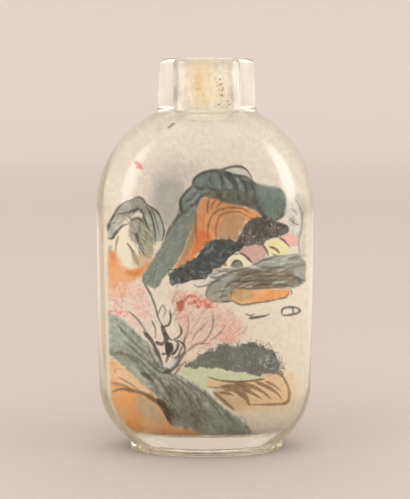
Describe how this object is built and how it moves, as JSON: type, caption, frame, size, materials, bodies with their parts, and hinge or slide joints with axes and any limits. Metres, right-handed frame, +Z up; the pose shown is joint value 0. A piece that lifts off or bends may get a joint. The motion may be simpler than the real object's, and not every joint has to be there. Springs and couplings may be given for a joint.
{
  "type": "snuff bottle",
  "caption": "Flattened oval clear glass bottle with a short neck, a bored mouth and a low oval foot, hollow, its inner wall frosted and painted with a landscape.",
  "frame": {"origin": "under the middle of the body, on the surface that the bottle stands on", "axes": "+Z up through the mouth, X along the width, Y through the depth, with the main painted face towards -Y"},
  "size_m": [0.0388, 0.0236, 0.07],
  "materials": {
    "glass": "clear pale straw glass, polished outside, frosted and painted on the inner wall"
  },
  "bodies": {
    "root": {"bottle": "glass"}
  },
  "joints": []
}
